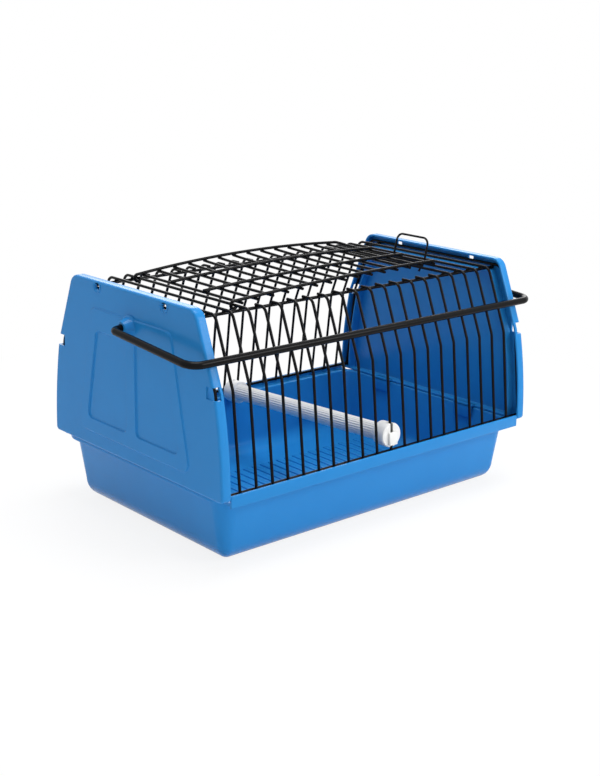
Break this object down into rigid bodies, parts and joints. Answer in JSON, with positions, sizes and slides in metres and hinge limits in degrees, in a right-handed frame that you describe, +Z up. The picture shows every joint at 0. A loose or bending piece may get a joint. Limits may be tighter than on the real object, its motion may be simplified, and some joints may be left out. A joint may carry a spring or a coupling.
{
  "type": "small bird transport carrier",
  "caption": "Hand-carried bird carrier: plastic tray and end panels, welded wire cage, hinged wire roof door with finger latch, swinging wire handle and clip-on perch.",
  "frame": {"origin": "under the centre of the tray, on the surface it stands on", "axes": "+X along the carrier from the door's hinge end to its latch end, -Y to the front where the handle lies, +Z up"},
  "size_m": [0.3174, 0.1928, 0.1806],
  "materials": {
    "blue_plastic": "moulded, soft gloss",
    "black_wire": "black powder coat, satin",
    "white_plastic": "moulded, satin"
  },
  "bodies": {
    "carrier": {"tray": "blue_plastic", "end_panel_left": "blue_plastic", "end_panel_right": "blue_plastic", "cage_front_grille": "black_wire", "cage_back_grille": "black_wire", "hoop_wire_00": "black_wire", "hoop_wire_01": "black_wire", "hoop_wire_02": "black_wire", "hoop_wire_03": "black_wire", "hoop_wire_17": "black_wire", "hoop_wire_18": "black_wire", "hoop_wire_19": "black_wire", "hoop_wire_20": "black_wire", "hoop_wire_21": "black_wire", "perch_rod": "white_plastic", "perch_cap_front": "white_plastic", "perch_cap_back": "white_plastic"},
    "roof_door": {"roof_door": "black_wire"},
    "door_latch": {"door_latch": "black_wire"},
    "carry_handle": {"carry_handle": "black_wire"}
  },
  "joints": [
    {"name": "handle_swing", "type": "hinge", "parent": "carrier", "child": "carry_handle", "pos_m": [0, 0, 0.142], "axis": [-1, 0, 0], "range_deg": [0, 188]},
    {"name": "door_swing", "type": "hinge", "parent": "carrier", "child": "roof_door", "pos_m": [-0.0995, 0, 0.1604], "axis": [0, -1, 0], "range_deg": [0, 150]},
    {"name": "latch_turn", "type": "hinge", "parent": "roof_door", "child": "door_latch", "pos_m": [0.09153, -0.0185, 0.1638], "axis": [0, -1, 0], "range_deg": [-15, 45]}
  ]
}
